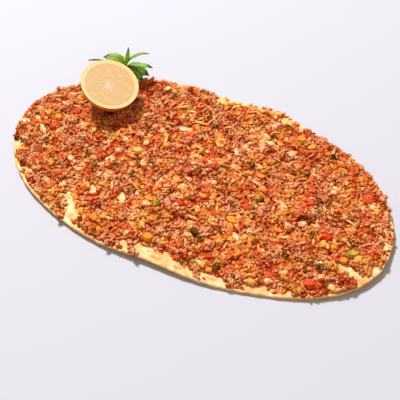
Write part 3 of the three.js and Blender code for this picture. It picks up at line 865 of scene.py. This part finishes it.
def free_places(core, bread, dice_surfaces, random):
    """Places for bits all over the core and out to the rim, clear of the garnish, the large dice and the
    bare spots."""
    core_surface, bread_surface = surface_of(core), surface_of(bread)
    places = spread(CRUMB_SPACING, random)
    scatter = BARE_SCATTER * random.random(len(places))
    places = places[bareness(*places.T) + scatter < BARE_LIMIT]
    found = []
    for x, y in places:
        z, normal = height_at(core_surface, x, y)
        if z is None:
            beside_core = height_at(core_surface, x * RIM_REACH, y * RIM_REACH)[0] is not None
            if beside_core and share_of_radius(x, y) < crumbs_end(x, y):
                z, normal = height_at(bread_surface, x, y)
        if z is None or normal.z < STEEPEST:
            continue
        place = Vector((x, y, z))
        on_dice = any(height_at(dice_surface, x, y)[0] for dice_surface in dice_surfaces)
        if clear_of_garnish(place, CRUMB_CLEARANCE * MM) and not on_dice:
            found.append(place)
    return np.array(found)


def bunches(kind, spots, free, random):
    """The placed bits of one kind, and the spots that all its bits take: the placed bits' come first."""
    placed = np.array(kind["placed"])
    inside = share_of_radius(spots[:, 0], spots[:, 1]) < STREWN_END
    if "patch" in kind:
        inside &= patch(kind["patch"], *spots[:, :2].T) > PATCH_EDGE
    chosen = [np.linalg.norm(spots[:, :2] - bit[:2] * MM, axis=1).argmin() for bit in placed]
    for _ in range(kind["count"]):
        middle = random.choice(np.flatnonzero(free & inside))
        nearest = np.linalg.norm(spots - spots[middle], axis=1).argsort()
        chosen += list(nearest[:2 * kind["bunch"]:2])
    return placed, chosen


def topping():
    """The core and all that lies on it. The crumbs of meat fill what the diced bits leave free."""
    bread = flatbread()
    meat = minced_meat("minced_meat", 0.12)
    core, ground = topping_core(meat)
    random = np.random.default_rng(7)
    dice_surfaces = [surface_of(frame["nodes"][name]) for name in large_dice_names()]
    spots = free_places(core, bread, dice_surfaces, random)
    free = np.ones(len(spots), bool)
    layers = [core]
    layers += [small_bits(name, kind, spots, free, ground, random) for name, kind in BITS.items()]
    large_dice(ground)
    layers += mince(spots[free], ground, meat, random)
    grains(layers, dice_surfaces, ground, random)


def small_bits(name, kind, spots, free, ground, random):
    """All the bits of one kind. The spots that they cover are then no longer free."""
    placed, chosen = bunches(kind, spots, free, random)
    count = len(chosen)
    sizes = in_range(random, count, kind["sizes"])
    headings = 360 * random.random(count)
    if kind["bunch"] == 1:
        sizes[:len(placed), :2] = placed[:, 2:4]
        headings[:len(placed)] = placed[:, 4]
    for spot, size in zip(chosen, sizes):
        covered = COVERED_SHARE * size[:2].sum() * MM
        free &= np.linalg.norm(spots - spots[spot], axis=1) > covered
    middles = raised(spots[chosen], (sizes[:, 2] * kind["lift"] - BIT_SUNK) * MM)
    shapes = [kind["shape"](seed) for seed in range(6)]
    turns = tumbled(random, headings, kind["tilt"])
    piece = joined_copies(name, shapes, middles, turns, sizes, ground, {})
    smooth(piece)
    return finish_piece(piece, kind["slot"], vegetable(name, kind["colours"], kind["stained"]))


def mince(spots, ground, meat, random):
    """The crumbs of minced meat, half sunk in the core and browned as it is."""
    shapes = [nugget(seed) for seed in range(20, 30)]
    colours = meat_colours(*spots[:, :2].T)
    uneven = BROWNED_UNEVENNESS * (random.random(len(spots)) - 0.5)
    browned = colours["browned"] = np.clip(colours["browned"] + uneven, 0, 1)
    start = 0
    pieces = []
    for name, (end, _) in MINCE.items():
        mine = (browned >= start) & (browned < end)
        start = end
        count = mine.sum()
        sizes = in_range(random, count, CRUMB_SIZES)
        middles = raised(spots[mine], (random.random(count) * 0.6 - 0.3) * sizes[:, 2] * MM)
        turns = tumbled(random, 360 * random.random(count), 180)
        mine_only = {colour: values[mine] for colour, values in colours.items()}
        piece = joined_copies(name, shapes, middles, turns, sizes, ground, mine_only)
        smooth(piece)
        pieces.append(finish_piece(piece, "topping", meat))
    return pieces


def grains(layers, dice_surfaces, ground, random):
    """Fine grains of meat on top of the crumbs."""
    surfaces = [surface_of(layer) for layer in layers]
    places = spread(GRAIN_SPACING, random)
    places = places[bareness(*places.T) < BARE_GRAIN_LIMIT]
    found = []
    for x, y in places:
        heights = [height_at(surface, x, y)[0] or 0 for surface in surfaces]
        on_dice = [height_at(surface, x, y) for surface in dice_surfaces]
        heights += [z for z, _ in on_dice if z]
        place = Vector((x, y, max(heights)))
        clear_of_dice = all(z is None or normal.z < DICE_SHOULDER for z, normal in on_dice)
        if heights[0] and clear_of_dice and clear_of_garnish(place, GRAIN_CLEARANCE * MM):
            found.append(place)
    spots = np.array(found)
    shapes = [grain(seed) for seed in range(8)]
    sizes = in_range(random, len(spots), GRAIN_SIZES)
    turns = tumbled(random, 360 * random.random(len(spots)), 180)
    colours = meat_colours(*spots[:, :2].T)
    piece = joined_copies("mince_grains", shapes, spots, turns, sizes, ground, colours)
    finish_piece(piece, "topping", minced_meat("mince_grains", 0.5))


def minced_meat(name, unevenness):
    """Cooked mince, browned as its pieces say. The crumbs differ in shade by the given unevenness."""
    paint = Paint(name, Roughness=0.45, Specular_IOR_Level=0.06, Specular_Tint=WARM_OIL)
    clump = paint.times(paint.clump(CLUMP_SIZE), 0.3)
    crumb = paint.times(paint.island(), unevenness)
    fleck = paint.times(paint.noise(1.6, detail=4, rough=0.75), 2.4)
    shade = paint.math("ADD", paint.math("ADD", clump, crumb), fleck)
    shade = paint.math("SUBTRACT", shade, 0.85 + unevenness / 2)
    browned = paint.attribute("browned")
    stages = ((end, paint.ramp(shade, *zip(MEAT_STOPS, colours))) for end, colours in MINCE.values())
    (start, colour), *later = stages
    for end, stage in later:
        colour = paint.mix(paint.band(browned, start - STAGE_BLEND, start + STAGE_BLEND), colour, stage)
        start = end
    for patch_name, colours in PATCH_COLOURS.items():
        share = paint.times(paint.attribute(patch_name), PATCH_STRENGTH)
        colour = paint.mix(share, colour, paint.ramp(shade, *zip(MEAT_STOPS, colours)))
    paint.colour(shade_by_height(paint, colour))
    paint.bump(paint.noise(1.1, detail=4, rough=0.7), depth=1)
    return paint.material


def vegetable(name, colours, stained=0.6):
    """A diced vegetable, oily in blotches and stained by the sauce at its foot."""
    paint = Paint(name, Roughness=0.4, Specular_IOR_Level=0.1, Specular_Tint=WARM_OIL)
    blotch = paint.times(paint.noise(2.4, detail=4, rough=0.65), 1.6)
    shade = paint.math("ADD", paint.times(paint.island(), 0.4), blotch)
    colour = paint.ramp(paint.math("SUBTRACT", shade, 0.5), *zip(DICE_STOPS, colours))
    oily = paint.times(paint.band(paint.noise(2.4, detail=4, rough=0.6), 0.46, 0.64), stained)
    colour = paint.mix(oily, colour, OILY)
    foot = paint.times(paint.band(paint.attribute("height"), 0.8, 0.54), 1.3 * stained)
    colour = paint.mix(foot, colour, SAUCE)
    paint.colour(shade_by_height(paint, colour))
    paint.bump(paint.noise(1.2, detail=3), depth=0.4)
    return paint.material


# ---- The largest diced vegetables, each a piece of its own ----

DICE_STOPS = (0.1, 0.5, 0.9)  # the shades at which the colours of a vegetable lie
LARGE_DICE = {
    "red_pepper": ((164, 28, 10), (206, 56, 34), (236, 124, 84)),
    "yellow_pepper": ((220, 122, 34), (244, 172, 72), (253, 216, 136)),
    "green_pepper": ((84, 82, 6), (158, 146, 34), (224, 208, 96)),
    "onion": ((242, 170, 118), (252, 206, 160), (255, 234, 204)),
}


def large_dice_names():
    return [name for name in frame["nodes"] if name.rsplit("_", 1)[0] in LARGE_DICE]


def large_dice(ground):
    for kind, colours in LARGE_DICE.items():
        material = vegetable(f"diced_{kind}", colours)
        for name in large_dice_names():
            if name.startswith(kind):
                finish_piece(softened_dice(name, ground), kind, material, name)


def softened_dice(name, ground):
    """A copy of one large dice's solid, with softened edges and cooked, uneven sides."""
    piece = frame["nodes"][name].copy()
    piece.data = piece.data.copy()
    piece.name = piece.data.name = f"diced_{name}"
    del piece["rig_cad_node"]
    bpy.context.scene.collection.objects.link(piece)
    edit(piece, "ALL")
    bpy.ops.mesh.remove_doubles(threshold=0.01 * MM)
    bpy.ops.mesh.customdata_custom_splitnormals_clear()
    leave_edit()
    apply_modifier(piece, "BEVEL", width=0.5 * MM, segments=2, limit_method="ANGLE")
    edit(piece, "ALL")
    bpy.ops.mesh.subdivide(number_cuts=3)
    leave_edit()
    roughen(piece, "CLOUDS", grain=3.4, depth=1.5)
    roughen(piece, "CLOUDS", grain=1.2, depth=0.7)
    smooth(piece)
    mark_height(piece, ground)
    return piece


# ---- The lemon half ----


def lemon_placement():
    """Where the lemon lies: it is modelled with its cut face level, at the origin."""
    return (
        Matrix.Translation(Vector(LEMON_FACE) * MM)
        @ Matrix.Rotation(math.radians(LEMON_LEAN), 4, "X")
        @ Matrix.Rotation(math.radians(LEMON_TILT), 4, "Y"))


def lemon_ball(name, radius, top):
    """A ball cut flat at the lemon's face, lowered by `top`, and at the end that it stands on."""
    bpy.ops.mesh.primitive_uv_sphere_add(
        segments=128, ring_count=96, radius=radius * MM, location=(0, 0, LEMON_DOME_CENTRE * MM))
    ball = new_piece(name)
    edit(ball, "ALL")
    bpy.ops.mesh.bisect(plane_co=(0, 0, -top * MM), plane_no=(0, 0, 1), clear_outer=True, use_fill=True)
    bpy.ops.mesh.select_all(action="SELECT")
    bpy.ops.mesh.bisect(
        plane_co=(0, 0, -LEMON_HEIGHT * MM), plane_no=(0, 0, -1), clear_outer=True, use_fill=True)
    leave_edit()
    return ball


def hollow_peel():
    """The peel: a shell with a pitted skin. It keeps how deep each point lies under the cut."""
    peel = lemon_ball("lemon_peel", LEMON_DOME_RADIUS, 0)
    edit(peel)
    select_where(peel, "FACE", lambda face: len(face.vertices) > 8 and face.normal.z > 0)
    bpy.ops.mesh.inset(thickness=PEEL_THICKNESS * MM)
    bpy.ops.mesh.extrude_region_move(TRANSFORM_OT_translate={"value": (0, 0, -PEEL_WALL * MM)})
    leave_edit()
    dome_centre = Vector((0, 0, LEMON_DOME_CENTRE * MM))

    def on_skin(place):
        below_cut = place.z < -0.4 * MM
        off_foot = place.xy.length > 5 * MM
        outside = (place - dome_centre).length > (LEMON_DOME_RADIUS - 0.3) * MM
        return below_cut and off_foot and outside

    skin = peel.vertex_groups.new(name="skin")
    skin.add([point.index for point in peel.data.vertices if on_skin(point.co)], 1, "REPLACE")
    roughen(peel, "VORONOI", grain=1.7, depth=0.35, group="skin")
    store(peel, "depth", -points_of(peel)[:, 2] / (LEMON_HEIGHT * MM))
    return peel


def joined_segments():
    """The pulp: all the segments as one piece."""
    segments = [lemon_segment(number) for number in range(LEMON_SEGMENTS)]
    pick(segments[0])
    for segment in segments:
        segment.select_set(True)
    bpy.ops.object.join()
    pulp = segments[0]
    pulp.name = pulp.data.name = "lemon_pulp"
    return pulp


def lemon_half():
    peel = hollow_peel()
    pith = lemon_ball("lemon_pith", LEMON_DOME_RADIUS - PEEL_THICKNESS + PITH_OVERLAP, PITH_LOWERED)
    pulp = joined_segments()
    for piece, material in ((peel, lemon_peel()), (pith, lemon_pith()), (pulp, lemon_pulp())):
        piece.data.transform(lemon_placement())
        smooth(piece)
        bpy.ops.object.shade_smooth_by_angle(angle=math.radians(LEMON_CREASE))
        finish_piece(piece, "lemon", material, "lemon_half")


def lemon_segment(number):
    """One segment's cut pulp: a wedge whose walls thicken towards the core, with the grain of its sacs."""
    outer = LEMON_DOME_RADIUS - PEEL_THICKNESS - PITH_THICKNESS
    bpy.ops.mesh.primitive_grid_add(x_subdivisions=44, y_subdivisions=18, size=2)
    piece = new_piece(f"segment_{number}")
    half_angle = math.pi / LEMON_SEGMENTS
    uneven = 1 + 0.04 * math.sin(5 * number + 1)
    star_arm = 4.4 + 2.2 * math.sin(2.3 * number)
    heading = TURN * number / LEMON_SEGMENTS + 0.2

    def shape(x, y, z):
        share = 0.05 + 0.95 * (x + 1) / 2  # of the way from the core to the pith
        round_off = np.sqrt(np.clip(1 - np.clip((share - 0.93) / 0.07, 0, 1) ** 2 * 0.35, 0, 1))
        radius = outer * share - 0.3 * (y ** 2) * np.clip(share - 0.7, 0, 1) / 0.3
        broken = 1 + 0.75 * np.sin(radius * 2.1 + 2 * number)
        wall = 0.06 + 1.6 * broken * np.exp(-(radius / star_arm) ** 2)  # half its thickness
        half_width = np.maximum(radius * math.tan(half_angle) * uneven - wall, 0.02) * round_off
        grain = 0.05 * np.sin(share * 26 + 4 * np.sin(y * 6 + number)) * np.cos(y * 9 + 2 * number)
        dome = 0.05 * (1 - y ** 4) - 0.03
        sideways = y * half_width
        east = radius * math.cos(heading) - sideways * math.sin(heading) + LEMON_CORE[0] * (1 - share)
        north = radius * math.sin(heading) + sideways * math.cos(heading) + LEMON_CORE[1] * (1 - share)
        return east * MM, north * MM, (dome + grain) * MM

    move_points(piece, shape)
    edit(piece, "ALL")
    bpy.ops.mesh.extrude_region_move(TRANSFORM_OT_translate={"value": (0, 0, -PULP_DEPTH * MM)})
    bpy.ops.mesh.select_all(action="SELECT")
    bpy.ops.mesh.normals_make_consistent(inside=False)
    leave_edit()
    return piece


def lemon_peel():
    """Pale at the cut, and a deeper gold towards the end that it stands on: partly the zest's own colour,
    partly painted shade on the underside.
    """
    paint = Paint("lemon_skin", Roughness=0.4, Specular_IOR_Level=0.35)
    # darker towards the underside: the zest's own gold with painted shade on top of it
    skin = paint.ramp(
        paint.attribute("depth"),
        (0, (230, 212, 150)), (0.025, (230, 196, 110)), (0.05, (222, 158, 66)), (0.12, (208, 142, 50)),
        (0.32, (184, 102, 16)), (0.75, (150, 66, 0)))
    dimple = paint.times(paint.band(paint.noise(3, detail=3), 0.35, 0.7), 0.25)
    paint.colour(paint.mix(dimple, skin, (244, 190, 84)))
    paint.bump(paint.cells(1.4), depth=0.25)
    return paint.material


def lemon_pith():
    """Pinkish white at the core, as the pulp where it walls the segments, and pale yellow at the rim."""
    paint = Paint("lemon_pith", Roughness=0.6, Specular_IOR_Level=0.25)
    reach = 28 * MM
    from_core = paint.distance(lemon_placement() @ (Vector((*LEMON_CORE, 0)) * MM))
    paint.colour(paint.ramp(
        paint.math("DIVIDE", from_core, reach),
        (0.14, (238, 204, 190)), (0.3, (222, 188, 150)), (0.74, (224, 190, 144)), (0.82, (232, 212, 172)),
        (0.94, (232, 212, 164))))
    paint.bump(paint.noise(0.8, detail=3), depth=0.1)
    return paint.material


def lemon_pulp():
    """Moist, pale and a little translucent."""
    paint = Paint("lemon_flesh", Roughness=0.38, Specular_IOR_Level=0.3,
                  Subsurface_Weight=0.2, Subsurface_Scale=0.003)
    paint.colour(paint.ramp(
        paint.noise(3, detail=4, rough=0.6),
        (0.3, (213, 181, 134)), (0.55, (219, 189, 144)), (0.8, (227, 201, 160))))
    paint.bump(paint.cells(1.5), depth=0.1)
    return paint.material


# ---- The mint ----


def leaf_blade(number):
    """A leaf with a grooved rib, side veins and a toothed edge, bent as its solid is."""
    heading, rise, length, width, droop, roll, _ = MINT_LEAVES[number]
    start = 0.7  # inside the crown
    bpy.ops.mesh.primitive_grid_add(x_subdivisions=60, y_subdivisions=24, size=2, calc_uvs=True)
    piece = new_piece(f"mint_leaf_{number + 1}")
    stations = np.linspace(0, 1, 201)
    steps = np.diff(stations, prepend=0) * length
    bend = np.radians(-droop * stations)
    reach_along = start + np.cumsum(steps * np.cos(bend))
    reach_up = np.cumsum(steps * np.sin(bend))

    def shape(x, y, z):
        share = (x + 1) / 2
        side = np.abs(y)
        teeth = 1 + 0.09 * np.abs(((share * 9 + 0.5) % 1) * 2 - 1) * np.clip(share * 5, 0, 1)
        half = width / 2 * np.interp(share, LEAF_SHARES, LEAF_WIDTHS) * np.where(side > 0.9, teeth, 1)
        wave = 0.07 * width * np.sin(share * 9)
        off_vein = np.abs(np.sin(math.pi * (share * LEAF_VEINS - side * VEIN_SLANT)))
        pillow = 0.035 * width * off_vein * np.sin(math.pi * side) ** 0.7
        groove = 0.03 * width * np.exp(-(y / 0.09) ** 2)
        along = np.interp(share, stations, reach_along)
        bent = np.interp(share, stations, reach_up)
        up = bent + side * half * LEAF_FOLD + y ** 2 * wave + pillow - groove
        return along * MM, y * half * MM, up * MM

    move_points(piece, shape)
    piece.data.transform(
        Matrix.Translation(Vector(MINT_CROWN) * MM)
        @ Matrix.Rotation(math.radians(heading), 4, "Z")
        @ Matrix.Rotation(math.radians(-rise), 4, "Y")
        @ Matrix.Rotation(math.radians(roll), 4, "X"))
    apply_modifier(piece, "SOLIDIFY", thickness=LEAF_THICKNESS * MM, offset=0)
    smooth(piece)
    return piece


# The dark and the light green of each kind of leaf. The upright tip leaf's greens are the lightest, partly
# as a young leaf's are and partly as painted light on the side that it turns from the lamp.
MINT_COLOURS = {
    "young": ((92, 118, 34), (182, 200, 100)),
    "tip": ((132, 148, 36), (218, 222, 104)),
    # lighter greens: partly a young leaf's own, partly painted light on its shaded side
    "broad": ((104, 146, 68), (194, 222, 142)),
    "grown": ((110, 154, 72), (212, 236, 160)),
}
LEAF_POINT = (44, 50, 18)


def mint_sprig():
    materials = {kind: mint_leaf(f"mint_{kind}", *colours) for kind, colours in MINT_COLOURS.items()}
    for number, leaf in enumerate(MINT_LEAVES):
        finish_piece(leaf_blade(number), "mint", materials[leaf[-1]], "mint_sprig")
    finish_piece(mint_stem(), "mint", mint_stem_skin(), "mint_sprig")


def mint_stem():
    """The stem: bowed from its foot in the topping to the crown, where it thickens."""
    foot, crown = Vector(MINT_FOOT) * MM, Vector(MINT_CROWN) * MM
    bow = (foot + crown) / 2 + Vector(MINT_STEM_BOW) * MM
    bpy.ops.mesh.primitive_cylinder_add(vertices=10, radius=1, depth=1, location=(0, 0, 0.5))
    stem = new_piece("mint_stem")
    edit(stem)
    select_edges_along(stem, 2)
    bpy.ops.mesh.subdivide(number_cuts=11)
    leave_edit()

    def route(x, y, z):
        share = z[:, None]
        middle = (1 - share) ** 2 * foot + 2 * share * (1 - share) * bow + share ** 2 * crown
        thickness = (1 + 0.5 * np.exp(-((z - 1) / 0.12) ** 2)) * MM
        return middle[:, 0] + x * thickness, middle[:, 1] + y * thickness, middle[:, 2]

    move_points(stem, route)
    smooth(stem)
    return stem


def mint_stem_skin():
    paint = Paint("mint_stem", Roughness=0.45)
    paint.colour(paint.ramp(paint.noise(2, detail=3), (0.3, (120, 150, 60)), (0.7, (170, 196, 104))))
    return paint.material


def mint_leaf(name, dark, light):
    """A leaf with a light rib and side veins, and a darker point."""
    paint = Paint(name, Roughness=0.45, Specular_IOR_Level=0.35, Subsurface_Weight=0.7,
                  Subsurface_Scale=0.002, Subsurface_Radius=(0.5, 1, 0.3))
    across = paint.math("ABSOLUTE", paint.math("SUBTRACT", paint.uv("Y"), 0.5))
    rib = paint.band(across, 0.045, 0.012)
    slant = paint.times(across, 2 * VEIN_SLANT)
    slanted = paint.math("SUBTRACT", paint.times(paint.uv("X"), LEAF_VEINS), slant)
    waves = paint.math("SINE", paint.times(slanted, math.pi))
    vein = paint.band(paint.math("ABSOLUTE", waves), 0.3, 0.05)
    middle = tuple((a + b) / 2 for a, b in zip(dark, light))
    blade = paint.ramp(paint.noise(5, detail=4), (0.3, dark), (0.7, middle))
    blade = paint.mix(paint.times(vein, 0.5), blade, light)
    blade = paint.mix(rib, blade, light)
    tip = paint.band(paint.uv("X"), 0.7, 0.92)
    paint.colour(paint.mix(paint.times(tip, 0.85), blade, LEAF_POINT))
    paint.bump(paint.noise(0.9, detail=3), depth=0.12)
    return paint.material


# ---- Floor, light and camera ----

FLOOR_DROP = 0.1  # clear of the bread's flat foot
FLOOR_COLOUR = (195, 199, 213)
AIR_COLOUR = (1, 0.78, 0.55, 1)
AIR_STRENGTH = 0.42
CAMERA_PLACE = (209.98, -407.6, 515.2)
CAMERA_TARGET = (14.8, -21.85, 0)


def studio_floor():
    bpy.ops.mesh.primitive_plane_add(size=8, location=(0, 0, -FLOOR_DROP * MM))
    floor = new_piece("floor")
    paint = Paint("floor", Base_Color=srgb(*FLOOR_COLOUR), Roughness=0.9)
    floor.data.materials.append(paint.material)


def warm_air():
    """Soft light from all around."""
    world = bpy.data.worlds.new("studio")
    bpy.context.scene.world = world
    world.use_nodes = True
    backdrop = world.node_tree.nodes["Background"]
    backdrop.inputs["Color"].default_value = AIR_COLOUR
    backdrop.inputs["Strength"].default_value = AIR_STRENGTH


def studio_camera():
    bpy.ops.object.camera_add(location=Vector(CAMERA_PLACE) * MM)
    camera = bpy.context.object
    sight = Vector(CAMERA_TARGET) - Vector(CAMERA_PLACE)
    camera.rotation_euler = sight.to_track_quat("-Z", "Y").to_euler()
    camera.data.lens = 70
    camera.data.sensor_width = 36
    bpy.context.scene.camera = camera
    bpy.context.scene.view_settings.view_transform = "Standard"
    bpy.context.scene.view_settings.look = "Medium High Contrast"


def softbox(name, place, size, power):
    """A square lamp that faces the middle of the food."""
    bpy.ops.object.light_add(type="AREA", location=place)
    lamp = bpy.context.object
    lamp.name = name
    lamp.rotation_euler = (-Vector(place)).to_track_quat("-Z", "Y").to_euler()
    lamp.data.size = size
    lamp.data.energy = power


deselect_all()
topping()
lemon_half()
mint_sprig()
studio_floor()
warm_air()
softbox("key", place=(-1.6, 1.2, 2.6), size=0.5, power=115)
softbox("fill", place=(0.7, -0.8, 0.9), size=0.9, power=1.5)
studio_camera()
